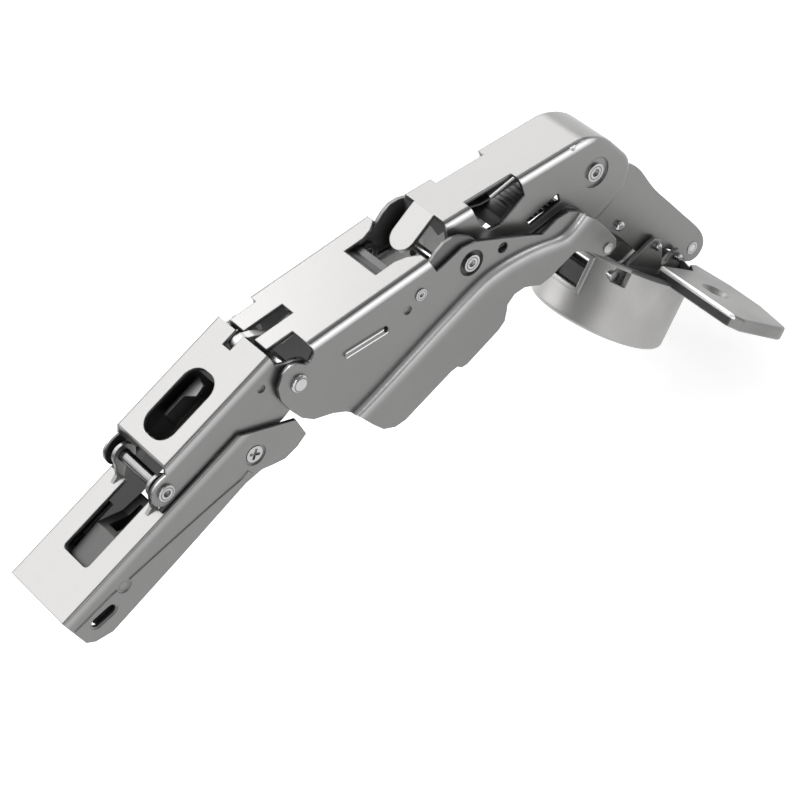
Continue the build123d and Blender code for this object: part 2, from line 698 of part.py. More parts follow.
# Scissor link that crosses the knuckle
with BuildPart() as scissorLink:
    with BuildSketch(sideSketch(0)):
        with BuildLine():
            smoothOutline(scissorOutline)
        make_face()
    extrude(amount=scissorHalf, both=True)
    ridge = scissorLink.edges().filter_by(
        lambda edge: edge.length > 20 and edge.center().Z > -5 and abs(edge.center().Y) > scissorHalf - 0.01)
    fillet(ridge, radius=1.3)
    with BuildSketch(sideSketch(0)):
        with BuildLine():
            Polyline([
                (70, scissorTop(70) - 1.2), (118.9, scissorTop(118.9) - 1.2), (121.6, -6.6), (124.4, -10.2),
                (125.3, -12.4), (140, -12.4), (140, -50), (70, -50),
            ], close=True)
        make_face()
    extrude(amount=scissorHalf - sheet, both=True, mode=Mode.SUBTRACT)
    # rear tongue that dips into the knuckle window
    with BuildSketch(sideSketch(0)):
        with BuildLine():
            Polyline([
                (86.0, scissorTop(86.0)), (84.0, scissorTop(84.0) - 0.1), (tongueEnd, 9.4),
                (tongueEnd, 9.4 - sheet), (84.4, scissorTop(84.4) - sheet), (86.0, scissorTop(86.0) - sheet),
            ], close=True)
        make_face()
    extrude(amount=tongueHalf, both=True)
    with BuildSketch(Plane.XY.offset(20)):
        with Locations((tongueEnd - 3, 0)):
            Rectangle(tongueHalf + 3, 2 * tongueHalf + 0.4, align=(Align.MIN, Align.CENTER))
        with Locations((tongueEnd + tongueHalf, 0)):
            Circle(tongueHalf, mode=Mode.SUBTRACT)
    extrude(amount=-16, mode=Mode.SUBTRACT)
    # side cut-outs in the top and the slots of the sides
    for side in (-1, 1):
        with BuildSketch(sideSketch(side * scissorHalf)):
            with BuildLine():
                Polyline([
                    (91.4, 12.0), (90.4, 1.6), (91.4, -1.8), (94.4, -3.4), (102.8, -2.6), (103.6, 0.6),
                    (103.9, 4.0), (103.4, 12.0),
                ], close=True)
            make_face()
        extrude(amount=2.7, both=True, mode=Mode.SUBTRACT)
    with BuildSketch(sideSketch(scissorHalf + 1)):
        with BuildLine():
            Polyline([(99.8, -9.0), (109.6, -11.0), (109.0, -13.6), (99.8, -11.8)], close=True)
        make_face()
        with Locations(crossPivot):
            Circle(crossPinRadius + pinPlay)
        with Locations(tailPivot):
            Circle(tailRadius)
        with Locations(linkPivot):
            Circle(linkPinRadius)
    extrude(amount=-2 * scissorHalf - 2, mode=Mode.SUBTRACT)
    for side in (-1, 1):
        with BuildSketch(sideSketch(side * scissorHalf)):
            with Locations(linkPivot):
                Circle(3.9)
                Circle(linkPinRadius, mode=Mode.SUBTRACT)
            with Locations((118.4, scissorTop(118.4) - 0.7)):
                Circle(0.8)
        extrude(amount=0.5, both=True, mode=Mode.SUBTRACT)
scissorLink.part.label = "scissor_link"

with BuildPart() as tailPin:
    with Locations((tailPivot[0], 0, tailPivot[1])):
        Cylinder(tailRadius, 2 * scissorHalf, rotation=(90, 0, 0))
tailPin.part.label = "tail_pin"

# Rivet of the cup link
with BuildPart() as linkRivet:
    with Locations((linkPivot[0], 0, linkPivot[1])):
        Cylinder(linkPinRadius, 2 * scissorHalf - 1.0, rotation=(90, 0, 0))
    for side in (-1, 1):
        with BuildSketch(sideSketch(side * (scissorHalf - 0.2))):
            with Locations(linkPivot):
                Circle(linkPinRadius + 0.3)
        extrude(amount=0.3, both=True)
        with BuildSketch(sideSketch(side * (scissorHalf + 0.1))):
            with Locations(linkPivot):
                Circle(1.0)
        extrude(amount=0.6, both=True, mode=Mode.SUBTRACT)
linkRivet.part.label = "link_rivet"


# Two plates of the cup link, the stud through them and the cup pin
def cupPlate(side):
    with BuildPart() as plate:
        with BuildSketch(sideSketch(side * (plateHalf - sheet / 2))):
            with BuildLine():
                Spline(plateOutline, periodic=True)
            make_face()
            with Locations(linkPivot):
                Circle(linkPinRadius + pinPlay, mode=Mode.SUBTRACT)
            with Locations(cupPivot):
                Circle(cupPinRadius, mode=Mode.SUBTRACT)
            with Locations(plateStud):
                Circle(plateStudRadius, mode=Mode.SUBTRACT)
        extrude(amount=sheet / 2, both=True)
    return plate


nearPlate = cupPlate(1)
nearPlate.part.label = "cup_plate_near"
farPlate = cupPlate(-1)
farPlate.part.label = "cup_plate_far"

with BuildPart() as plateSpacer:
    with Locations((plateStud[0], 0, plateStud[1])):
        Cylinder(plateStudRadius, 2 * plateHalf + 2.4, rotation=(90, 0, 0))
        Cylinder(plateStudRadius + 0.9, 2 * plateHalf - 2 * sheet, rotation=(90, 0, 0))
    studEnds = plateSpacer.edges().filter_by(GeomType.CIRCLE).filter_by(
        lambda edge: abs(edge.center().Y) > plateHalf + 0.6)
    fillet(studEnds, radius=0.6)
plateSpacer.part.label = "plate_spacer"

with BuildPart() as cupPin:
    with Locations((cupPivot[0], 0, cupPivot[1])):
        Cylinder(cupPinRadius, 2 * plateHalf + 0.2, rotation=(90, 0, 0))
cupPin.part.label = "cup_pin"

# Cup: drawn pot with rim, two screw wings and the opening on the arm side
openingFrameHalf = 5.0
openingInnerHalf = 4.0
openingLow = 7.2
openingHigh = 16.9
wingInner = 12.9
wingTip = 41.4
screwHoleRadius = 2.1


def wingOutline(side, inset):
    # Corners of one wing seen along the cup's axis; the inset makes the hollow below it
    reach = wingTip - inset
    return [
        (-2.7 + inset, side * (wingInner + 4 * inset)), (-2.7 + inset, side * (reach - 4.6)),
        (-0.4 + inset, side * (reach - 1.9)), (12.8, side * reach), (15.4 - inset, side * (reach - 0.8)),
        (19.2 - inset, side * (reach - 12.0)), (19.6 - inset, side * (reach - 23.0)),
        (17.6 - inset, side * (wingInner - 4.2 + 8 * inset)),
        (15.6 - inset, side * (wingInner - 4.2 + 8 * inset)),
    ]


with BuildPart() as cupShell:
    with BuildSketch(cupFrame):
        Circle(cupRadius)
    extrude(amount=cupDepth)
    bottomEdge = cupShell.edges().filter_by(GeomType.CIRCLE).sort_by(
        lambda edge: edge.center().X * cupFrame.z_dir.X + edge.center().Z * cupFrame.z_dir.Z)
    fillet(bottomEdge[0], radius=1.3)
    with BuildSketch(cupFrame.offset(cupDepth)):
        Circle(cupRadius + rimWidth)
    extrude(amount=0.9)
    # frame round the opening on the arm side
    with BuildSketch(cupFrame.offset(openingLow)):
        with Locations((-cupRadius, 0)):
            Rectangle(8.0, 2 * openingFrameHalf)
        Circle(cupRadius + 0.35, mode=Mode.INTERSECT)
    extrude(amount=openingHigh - openingLow)
    # wings, hollow from below apart from the bosses of the screw holes
    for side in (-1, 1):
        with BuildSketch(cupFrame.offset(cupDepth)) as wingSketch:
            with BuildLine():
                Polyline(wingOutline(side, 0), close=True)
            make_face()
            fillet(wingSketch.vertices().filter_by(lambda point: abs(point.Y) > wingInner + 1), radius=1.4)
        extrude(amount=wingTop - cupDepth)
    wingEdges = cupShell.edges().filter_by(
        lambda edge: abs((edge.center() - cupFrame.origin).dot(cupFrame.z_dir) - wingTop) < 0.01
        and abs(edge.center().Y) > wingInner + 0.5)
    fillet(wingEdges, radius=0.7)
    for side in (-1, 1):
        with BuildSketch(cupFrame.offset(cupDepth)):
            with BuildLine():
                Polyline(wingOutline(side, 1.2), close=True)
            make_face()
            with Locations((screwOffset, side * screwHalfPitch)):
                Circle(4.2, mode=Mode.SUBTRACT)
            Circle(cupRadius + rimWidth, mode=Mode.SUBTRACT)
        extrude(amount=wingTop - cupDepth - 1.2, mode=Mode.SUBTRACT)
    # hollow of the cup
    with BuildSketch(cupFrame.offset(cupWall)):
        Circle(cupRadius - cupWall)
    extrude(amount=cupDepth + 0.9 - cupWall, mode=Mode.SUBTRACT)
    with BuildSketch(cupFrame.offset(cupDepth)):
        Rectangle(4 * cupRadius, 2 * wingInner)
        Circle(cupRadius - cupWall, mode=Mode.INTERSECT)
    extrude(amount=5, mode=Mode.SUBTRACT)
    with BuildSketch(cupFrame.offset(openingLow + 1.0)):
        with Locations((-cupRadius, 0)):
            Rectangle(8.0, 2 * openingInnerHalf)
    extrude(amount=openingHigh - openingLow - 2.0, mode=Mode.SUBTRACT)
    # flats where the axle ends, and its holes
    with BuildSketch(cupFrame.offset(cupDepth - 4.0)):
        for side in (-1, 1):
            with Locations((axlePlace[0] - 0.8, side * (axleFlat + 3))):
                Rectangle(5.6, 6)
    extrude(amount=4.0, mode=Mode.SUBTRACT)
    with BuildSketch(cupFrame.offset(cupDepth - 5.0)):
        for side in (-1, 1):
            with Locations((axlePlace[0] - 0.4, side * (axleFlat - 0.5))):
                Rectangle(7.6, 1.0)
        Circle(cupRadius, mode=Mode.INTERSECT)
    extrude(amount=5.0)
    with BuildSketch(sideSketch(0)):
        with Locations(cupPoint(axlePlace[0], axlePlace[1])):
            Circle(axleRadius)
    extrude(amount=cupRadius, both=True, mode=Mode.SUBTRACT)
    # screw holes with sunk seats
    with BuildSketch(cupFrame.offset(wingTop)):
        for side in (-1, 1):
            with Locations((screwOffset, side * screwHalfPitch)):
                Circle(3.6)
    extrude(amount=-1.0, taper=40, mode=Mode.SUBTRACT)
    with BuildSketch(cupFrame.offset(wingTop + 1)):
        for side in (-1, 1):
            with Locations((screwOffset, side * screwHalfPitch)):
                Circle(screwHoleRadius)
    extrude(amount=-6, mode=Mode.SUBTRACT)
cupShell.part.label = "cup_shell"

with BuildPart() as cupAxle:
    with BuildSketch(sideSketch(0)):
        with Locations(cupPoint(axlePlace[0], axlePlace[1])):
            Circle(axleRadius)
    extrude(amount=axleFlat + 0.5, both=True)
cupAxle.part.label = "cup_axle"

# Bracket riveted into the cup, whose ears carry the cup pin
with BuildPart() as cupBracket:
    with BuildSketch(cupFrame.offset(cupWall)):
        with Locations((4.0, 0)):
            Rectangle(18.0, 2 * outerEarHalf)
    extrude(amount=1.0)
    for side in (-1, 1):
        with BuildSketch(sideSketch(side * (earHalf - 0.5))):
            with BuildLine():
                Polyline([
                    cupPoint(-2, 1.5), cupPoint(13, 1.5), cupPoint(15.2, 8), cupPoint(15.8, 18.2),
                    cupPoint(18.8, 20.2),
                ])
                TangentArc([cupPoint(18.8, 20.2), cupPoint(14.2, 25.6)], tangent=cupDirection(1, 1))
                Polyline([cupPoint(14.2, 25.6), cupPoint(6.0, 14.0), cupPoint(-2, 8), cupPoint(-2, 1.5)])
            make_face()
            with Locations(cupPivot):
                Circle(cupPinRadius + pinPlay, mode=Mode.SUBTRACT)
        extrude(amount=0.5, both=True)
        with BuildSketch(sideSketch(side * (outerEarHalf - 0.5))):
            with BuildLine():
                Polyline([
                    cupPoint(-4.6, 1.5), cupPoint(-5.6, 13.0), cupPoint(-7.0, 14.4), cupPoint(-7.3, 18.0),
                    cupPoint(-4.0, 23.6), cupPoint(-2.6, 25.2),
                    cupPoint(-0.4, 25.2), cupPoint(1.4, 23.4), cupPoint(4.6, 18.8), cupPoint(6.2, 19.8),
                    cupPoint(6.6, 22.6), cupPoint(8.2, 23.6), cupPoint(9.8, 22.8), cupPoint(10.6, 20.0),
                    cupPoint(11.4, 14.0), cupPoint(12.6, 9.0), cupPoint(12.6, 1.5),
                ], close=True)
            make_face()
            for place in bracketPinPlaces:
                with Locations(place):
                    Circle(bracketPinRadius, mode=Mode.SUBTRACT)
        extrude(amount=0.5, both=True)
cupBracket.part.label = "cup_bracket"

with BuildPart() as bracketPins:
    for side in (-1, 1):
        for place in bracketPinPlaces:
            with BuildSketch(sideSketch(side * (outerEarHalf + 0.3))):
                with Locations(place):
                    Circle(bracketPinRadius)
            extrude(amount=1.3, both=True)
    pinEnds = bracketPins.edges().filter_by(GeomType.CIRCLE).filter_by(
        lambda edge: abs(edge.center().Y) > outerEarHalf + 1)
    fillet(pinEnds, radius=0.5)
bracketPins.part.label = "bracket_pins"

# Damper block behind the opening
with BuildPart() as damperHousing:
    with BuildSketch(cupFrame.offset(cupWall)):
        with Locations((-10.4, 0)):
            Rectangle(8.4, 17.0)
        Circle(cupRadius - cupWall - 0.2, mode=Mode.INTERSECT)
    extrude(amount=11.6)
    with BuildSketch(cupFrame.offset(openingLow + 1.4)):
        with Locations((-15.0, 0)):
            Rectangle(2.8, 2 * openingInnerHalf - 0.6)
    extrude(amount=4.4)
    with Locations(cupFrame):
        with Locations((-10.0, 0, 12.0)):
            Cylinder(damperPinRadius, 12.0, rotation=(90, 0, 0), mode=Mode.SUBTRACT)
damperHousing.part.label = "damper_housing"

with BuildPart() as damperPin:
    with Locations(cupFrame):
        with Locations((-10.0, 0, 12.0)):
            Cylinder(damperPinRadius - pinPlay, 11.8, rotation=(90, 0, 0))
damperPin.part.label = "damper_pin"

pieces = [
    baseChannel, releaseLever, releasePin, releaseSpring, crossScrew, armChannel, armPin, adjusterBracket,
    adjusterScrew, hookPin, outerKnuckle, kneePin, springPlates, crossRivets, springPins, closingSprings,
    armEndStuds, innerLink,
    scissorLink, tailPin, linkRivet, nearPlate, farPlate, plateSpacer, cupPin, cupShell, cupAxle, cupBracket,
    bracketPins, damperHousing, damperPin,
]
os.makedirs("parts", exist_ok=True)
for piece in pieces:
    export_step(piece.part, "parts/" + piece.part.label + ".step")
    print(piece.part.label, len(piece.part.solids()), round(piece.part.volume, 1), piece.part.is_valid)
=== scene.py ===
import json
import math

import bmesh
import bpy
import numpy as np
from mathutils import Matrix, Vector


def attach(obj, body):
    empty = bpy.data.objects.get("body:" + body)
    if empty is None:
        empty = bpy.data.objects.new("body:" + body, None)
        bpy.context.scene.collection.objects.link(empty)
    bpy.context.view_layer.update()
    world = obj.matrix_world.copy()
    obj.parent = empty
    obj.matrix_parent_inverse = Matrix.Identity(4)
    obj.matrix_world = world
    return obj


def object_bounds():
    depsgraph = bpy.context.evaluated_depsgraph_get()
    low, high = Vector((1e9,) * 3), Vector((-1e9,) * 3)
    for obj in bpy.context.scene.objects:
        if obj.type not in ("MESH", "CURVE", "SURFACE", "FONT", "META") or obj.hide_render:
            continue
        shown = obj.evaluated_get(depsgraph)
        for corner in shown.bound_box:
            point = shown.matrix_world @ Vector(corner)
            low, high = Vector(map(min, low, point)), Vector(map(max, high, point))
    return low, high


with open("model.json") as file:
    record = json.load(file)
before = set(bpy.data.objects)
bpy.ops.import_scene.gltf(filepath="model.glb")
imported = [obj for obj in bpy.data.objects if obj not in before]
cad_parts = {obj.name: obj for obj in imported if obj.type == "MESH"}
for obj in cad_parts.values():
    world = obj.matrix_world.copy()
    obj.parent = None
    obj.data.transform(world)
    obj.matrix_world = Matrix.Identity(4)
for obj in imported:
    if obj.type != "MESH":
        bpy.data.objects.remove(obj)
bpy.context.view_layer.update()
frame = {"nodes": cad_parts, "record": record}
print("frame loaded:", len(frame["nodes"]), "nodes")

# The hinge's places and sizes are written in millimetres, those of the stage, lamps and camera in metres
mm = 0.001


# Shader maths: a socket with the usual operators, and one method for the other Math operations
class Wire:
    def __init__(self, tree, socket):
        self.tree = tree
        self.socket = socket

    def math(self, operation, *others):
        node = self.tree.nodes.new("ShaderNodeMath")
        node.operation = operation
        for slot, value in enumerate((self,) + others):
            connect(self.tree, value, node.inputs[slot])
        return Wire(self.tree, node.outputs[0])

    def __add__(self, other):
        return self.math("ADD", other)

    __radd__ = __add__

    def __mul__(self, other):
        return self.math("MULTIPLY", other)

    __rmul__ = __mul__

    def __sub__(self, other):
        return self.math("SUBTRACT", other)

    def __rsub__(self, other):
        return self.math("MULTIPLY", -1.0).math("ADD", other)

    def __truediv__(self, other):
        return self.math("DIVIDE", other)

    def __pow__(self, other):
        return self.math("POWER", other)


def connect(tree, value, target):
    if isinstance(value, Wire):
        tree.links.new(value.socket, target)
    else:
        target.default_value = value


# One material: node() adds any node, with its settings first and its sockets' values or links after
class Shader:
    def __init__(self, name):
        self.material = bpy.data.materials.new(name)
        self.material.use_nodes = True
        self.tree = self.material.node_tree
        self.surface = self.tree.nodes["Principled BSDF"]

    def node(self, kind, settings=None, out=0, **sockets):
        # a socket goes by its name, or as i0, i1 and so on by its place in the list
        made = self.tree.nodes.new(kind)
        for key, value in (settings or {}).items():
            if key == "stops":
                ramp = made.color_ramp
                for index, (place, colour) in enumerate(value):
                    stop = ramp.elements[index] if index < 2 else ramp.elements.new(place)
                    stop.position = place
                    stop.color = colour
            else:
                setattr(made, key, value)
        for key, value in sockets.items():
            byPlace = key[0] == "i" and key[1:].isdigit()
            target = made.inputs[int(key[1:])] if byPlace else made.inputs[key]
            connect(self.tree, value, target)
        return Wire(self.tree, made.outputs[out])

    def here(self):
        # the shaded point in the object's own frame, which is output 3
        return self.node("ShaderNodeTexCoord", out=3)

    def axes(self):
        # x, y and z of that point, in metres
        split = self.node("ShaderNodeSeparateXYZ", i0=self.here())
        return [Wire(self.tree, socket) for socket in split.socket.node.outputs]

    def noise(self, scale, detail=2.0, stretch=(1, 1, 1)):
        # swings about 0.5
        where = self.node("ShaderNodeMapping", i0=self.here(), i3=stretch)
        return self.node("ShaderNodeTexNoise", i0=where, Scale=scale, Detail=detail)

    def span(self, value, low, high, start, end):
        # start where the value is low, end where it is high, and even in between
        settings = {"clamp": True}
        return self.node("ShaderNodeMapRange", settings, Value=value, i1=low, i2=high, i3=start, i4=end)

    def blend(self, factor, first, second):
        settings = {"data_type": "RGBA"}
        return self.node("ShaderNodeMix", settings, out=2, i0=factor, i6=first, i7=second)

    def relief(self, look, height):
        # bump, over edges that a Bevel node rounds where the look gives their radius
        sockets = {"Strength": look["bump"], "Distance": look["bumpDepth"], "Height": height}
        if "edgeRadius" in look:
            settings = {"samples": look["edgeSamples"]}
            sockets["Normal"] = self.node("ShaderNodeBevel", settings, Radius=look["edgeRadius"])
        self.set("Normal", self.node("ShaderNodeBump", **sockets))

    def set(self, name, value):
        connect(self.tree, value, self.surface.inputs[name])


def grey(level, warmth=0.0):
    return (level * (1 + warmth), level, level * (1 - warmth), 1.0)


# Plated sheet steel: rolling streaks, soft cloudy sheen, faint pits, painted shade on the inner faces and
# painted highlights along the folds
sheetLook = {
    "level": 0.225,
    "warmth": 0.01,
    "metal": 0.8,
    "rough": 0.31,
    "streakScale": 260.0,
    "streakDetail": 4.0,
    "streakStretch": (0.12, 1.0, 1.0),
    "streakSwing": 0.10,
    "streakRough": 0.07,
    "cloudScale": 45.0,
    "cloudSwing": 0.12,
    "cloudRough": 0.08,
    "pitScale": 2600.0,
    "pitSwing": 0.08,
    "toneRange": 0.1,
    "toneSpread": 0.1,
    "pitShare": 0.5,
    "bump": 0.05,
    "bumpDepth": 0.1 * mm,
    "edgeRadius": 0.35 * mm,
    "edgeSamples": 6,
    "insideLevel": 0.06,
    "insideWall": 0.5,
    "insideDepth": 0.6,
    "foldHighlightLevel": 0.95,
    "foldFrom": 0.5,
    "foldTo": 2.8,
    "foldPeak": 1.6,
}
# The bent channels: half width, a point of the top's line as x and z, its slope, where the painted shade on
# the inner faces begins and ends along x, and how strong the painted highlight below the folds is
channels = {
    "base_channel": {"half": 10.6, "top": (0.0, 17.0), "slope": 0.0, "inside": (-40.0, 40.0), "foldHighlight": 0.15},
    "arm_channel": {"half": 9.4, "top": (0.0, 26.3), "slope": 0.0, "inside": (-40.0, 40.0), "foldHighlight": 0.3},
    "outer_knuckle": {
        "half": 11.1, "top": (40.4, 22.4), "slope": -0.321, "inside": (0.0, 120.0), "foldHighlight": 1.0,
        "pressed": True,
    },
    "scissor_link": {"half": 7.5, "top": (113.2, -0.9), "slope": -0.419, "inside": (84.6, 118.0), "foldHighlight": 1.0},
}
# Step in the knuckle's sides: its line as x and z, the length that the line's ramp stands for, the half width
# outside which the face stands out, and where the painted highlight band on it begins and ends
step = {
    "line": [(38.0, -5.2), (60.7, -5.6), (77.6, -5.8), (83.3, -6.3), (88.9, -8.1), (94.5, -10.9),
             (100.2, -14.8), (103.6, -17.0)],
    "span": 120.0,
    "half": 11.4,
    "above": 0.6,
    "reach": 4.2,
    "peak": 1.2,
    "level": 0.7,
}
# Raised bead on the knuckle's sides: its middle as x and z, its turn in degrees, the painted highlight ring's
# distances from the middle line, its half length, and how far outside the sheet's half width it begins
bead = {
    "middle": (53.4, 7.8),
    "angle": -22.5,
    "inner": 0.5,
    "outer": 0.95,
    "halfLength": 5.8,
    "proud": 0.1,
}
# The cup: the middle of its floor as x and z, and the direction of its axis
cupPlace = {"floor": (102.55, -64.1), "axis": (0.878, 0.479)}
# The cup's wings: the height above the floor where they begin, how far they are toned down, the half width
# outside which they stand alone, and their front edge with a painted highlight on its fold and painted shade
# on the face below it
wings = {
    "begin": 17.6,
    "tone": 0.45,
    "half": 13.2,
    "fold": 19.5,
    "foldAcross": -1.8,
    "foldHighlightLevel": 0.95,
    "faceAcross": -2.3,
    "faceShadeLevel": 0.1,
}


def channelTones(shader, look, channel, colour):
    x, y, z = shader.axes()
    (startX, startZ), slope = channel["top"], channel["slope"]
    rear, front = channel["inside"]
    # depth below the top's line, and whether the point lies between the sides
    depth = (startZ - startX * slope) * mm - (z - x * slope)
    between = y.math("ABSOLUTE").math("LESS_THAN", (channel["half"] - look["insideWall"]) * mm)
    # painted shade: the inner faces are darkened to a dull grey, as the channel's inside lies in shade
    inside = between * depth.math("GREATER_THAN", look["insideDepth"] * mm)
    inside = inside * x.math("GREATER_THAN", rear * mm) * x.math("LESS_THAN", front * mm)
    colour = shader.blend(inside, colour, grey(look["insideLevel"]))
    # a painted highlight: a bright band just below the fold, fading downwards
    band = shader.span(depth, look["foldFrom"] * mm, look["foldTo"] * mm, look["foldPeak"], 0.0)
    band = band.math("MINIMUM", 1.0) * depth.math("GREATER_THAN", look["foldFrom"] * mm)
    colour = shader.blend(band * (1 - between) * channel["foldHighlight"], colour, grey(look["foldHighlightLevel"]))
    if channel.get("pressed"):
        colour = stepTones(shader, (x, y, z), colour)
        colour = beadTones(shader, (x, y, z), look, channel, colour)
    return colour


def stepTones(shader, point, colour):
    # the height of the step's line at each x comes from a ramp, as a share of the ramp's length
    x, y, z = point
    stops = [(lineX / step["span"], grey(-lineZ / step["span"])) for lineX, lineZ in step["line"]]
    line = shader.node("ShaderNodeValToRGB", {"stops": stops}, Fac=x / (step["span"] * mm))
    under = line * (-step["span"] * mm) - z
    # painted highlight: a bright band under the step's line, fading downwards, only on the stepped-out face
    glow = shader.span(under, -step["above"] * mm, step["reach"] * mm, step["peak"], 0.0)
    glow = glow.math("MINIMUM", 1.0) * under.math("GREATER_THAN", -step["above"] * mm)
    glow = glow * y.math("ABSOLUTE").math("GREATER_THAN", step["half"] * mm)
    return shader.blend(glow * glow, colour, grey(step["level"]))


def beadTones(shader, point, look, channel, colour):
    # painted highlight on the edges of the raised bead: a ring in the distance from its middle line
    x, y, z = point
    turn = math.radians(bead["angle"])
    fromX, fromZ = x - bead["middle"][0] * mm, z - bead["middle"][1] * mm
    along = (fromX * math.cos(turn) + fromZ * math.sin(turn)).math("ABSOLUTE")
    off = (fromZ * math.cos(turn) - fromX * math.sin(turn)).math("ABSOLUTE")
    ring = off.math("GREATER_THAN", bead["inner"] * mm) * off.math("LESS_THAN", bead["outer"] * mm)
    ring = ring * along.math("LESS_THAN", bead["halfLength"] * mm)
    ring = ring * y.math("ABSOLUTE").math("GREATER_THAN", (channel["half"] + bead["proud"]) * mm)
    return shader.blend(ring, colour, grey(look["foldHighlightLevel"]))


def wingTones(shader, look, colour):
    x, y, z = shader.axes()
    (floorX, floorZ), (axisX, axisZ) = cupPlace["floor"], cupPlace["axis"]
    raised = (x - floorX * mm) * axisX + (z - floorZ * mm) * axisZ
    across = (x - floorX * mm) * axisZ - (z - floorZ * mm) * axisX
    # the wings are darker than the drawn wall
    pressed = raised.math("GREATER_THAN", wings["begin"] * mm)
    colour = shader.blend(pressed * wings["tone"], colour, grey(look["insideLevel"]))
    # their front edge: painted shade on the face, a painted highlight on the fold above it
    wing = y.math("ABSOLUTE").math("GREATER_THAN", wings["half"] * mm) * pressed
    high = raised.math("GREATER_THAN", wings["fold"] * mm)
    face = wing * (1 - high) * across.math("LESS_THAN", wings["faceAcross"] * mm)
    fold = wing * high * across.math("LESS_THAN", wings["foldAcross"] * mm)
    colour = shader.blend(face, colour, grey(wings["faceShadeLevel"]))
    return shader.blend(fold, colour, grey(wings["foldHighlightLevel"]))


def sheetSteel(name, look, channel=None, winged=False):
    shader = Shader(name)
    streak = shader.noise(look["streakScale"], look["streakDetail"], look["streakStretch"])
    cloud = shader.noise(look["cloudScale"])
    pits = shader.noise(look["pitScale"])
    swing = (streak - 0.5) * look["streakSwing"] + (cloud - 0.5) * look["cloudSwing"]
    swing = swing + (pits - 0.5) * look["pitSwing"]
    tone = shader.span(swing, -look["toneRange"], look["toneRange"], 0.0, 1.0)
    low = grey(look["level"] * (1 - look["toneSpread"]), look["warmth"])
    high = grey(look["level"] * (1 + look["toneSpread"]), look["warmth"])
    colour = shader.blend(tone, low, high)
    if channel:
        colour = channelTones(shader, look, channel, colour)
    if winged:
        colour = wingTones(shader, look, colour)
    rough = (streak - 0.5) * look["streakRough"] + (cloud - 0.5) * look["cloudRough"] + look["rough"]
    shader.set("Base Color", colour)
    shader.set("Metallic", look["metal"])
    shader.set("Roughness", rough)
    shader.relief(look, pits * look["pitShare"] + streak * (1 - look["pitShare"]))
    return shader.material


# Polished rivets and screws: turned rings round each axis, a painted dark ring of shade inside the rim, small
# scratches
pinLook = {
    "level": 0.48,
    "rough": 0.2,
    "scratchScale": 900.0,
    "scratchDetail": 3.0,
    "scratchStretch": (1.0, 0.2, 1.0),
    "scratchRough": 0.15,
    "cloudScale": 120.0,
    "cloudFrom": 0.3,
    "cloudTo": 0.7,
    "toneLow": 0.88,
    "toneHigh": 1.08,
    "bump": 0.05,
    "bumpDepth": 0.05 * mm,
    "edgeRadius": 0.2 * mm,
    "edgeSamples": 6,
    "ringPitch": 0.22 * mm,
    "ringBump": 0.3,
    "grooveShare": 0.72,
    "grooveWidth": 0.13,
    "grooveShade": 0.75,
    "grooveLevel": 0.02,
}


def cloudedGrey(shader, look):
    tone = shader.span(shader.noise(look["cloudScale"]), look["cloudFrom"], look["cloudTo"], 0.0, 1.0)
    return shader.blend(tone, grey(look["level"] * look["toneLow"]), grey(look["level"] * look["toneHigh"]))


def polishedSteel(name, look, axis=None, radius=None):
    shader = Shader(name)
    scratch = shader.noise(look["scratchScale"], look["scratchDetail"], look["scratchStretch"])
    colour = cloudedGrey(shader, look)
    height = scratch
    if axis:
        # distance from the pin's axis as a share of its radius
        x, _, z = shader.axes()
        reach = ((x - axis[0] * mm) ** 2.0 + (z - axis[1] * mm) ** 2.0) ** 0.5
        share = reach / (radius * mm)
        # painted shade: a near-black ring inside the rim, where a groove would hold shade
        groove = (share - look["grooveShare"]).math("ABSOLUTE")
        shade = shader.span(groove, 0.0, look["grooveWidth"], look["grooveShade"], 0.0)
        colour = shader.blend(shade, colour, grey(look["grooveLevel"]))
        rings = (share * (radius * mm * math.tau / look["ringPitch"])).math("SINE")
        height = scratch + rings * look["ringBump"]
    shader.set("Base Color", colour)
    shader.set("Metallic", 1.0)
    shader.set("Roughness", (scratch - 0.5) * look["scratchRough"] + look["rough"])
    shader.relief(look, height)
    return shader.material


# Black moulded plastic with a fine eroded grain
plasticLook = {
    "level": 0.02,
    "rough": 0.5,
    "grainScale": 3200.0,
    "grainRough": 0.12,
    "cloudScale": 90.0,
    "cloudFrom": 0.3,
    "cloudTo": 0.7,
    "toneLow": 0.8,
    "toneHigh": 1.4,
    "bump": 0.15,
    "bumpDepth": 0.05 * mm,
}


def mouldedPlastic(name, look):
    shader = Shader(name)
    grain = shader.noise(look["grainScale"])
    shader.set("Base Color", cloudedGrey(shader, look))
    shader.set("Roughness", (grain - 0.5) * look["grainRough"] + look["rough"])
    shader.relief(look, grain)
    return shader.material


# The finish of each material slot
darkSheetLook = dict(sheetLook, level=0.06, rough=0.42)
cupLook = dict(
    sheetLook, level=0.45, rough=0.48, streakScale=90.0, cloudScale=70.0, cloudSwing=0.5, toneSpread=0.14)
springLook = dict(pinLook, level=0.12, rough=0.34)
finishes = {
    "sheet": sheetSteel("platedSheet", sheetLook),
    "cup_metal": sheetSteel("cupSheet", cupLook, winged=True),
    "lever_metal": sheetSteel("leverSheet", darkSheetLook),
    "pin": polishedSteel("rivetSteel", pinLook),
    "spring_steel": polishedSteel("springSteel", springLook),
    "damper_plastic": mouldedPlastic("damperBlack", plasticLook),
}
# Round heads: their axis in the side view as x and z, and the radius of the head
heads = {
    "arm_pin": ((0.0, 20.8), 2.1),
    "knee_pin": ((36.5, 15.2), 2.3),
    "cross_rivets": ((82.9, -0.5), 2.1),
    "spring_pins": ((69.5, 5.1), 1.5),
    "link_rivet": ((119.7, -15.9), 2.3),
    "cup_pin": ((130.9, -66.3), 1.6),
}
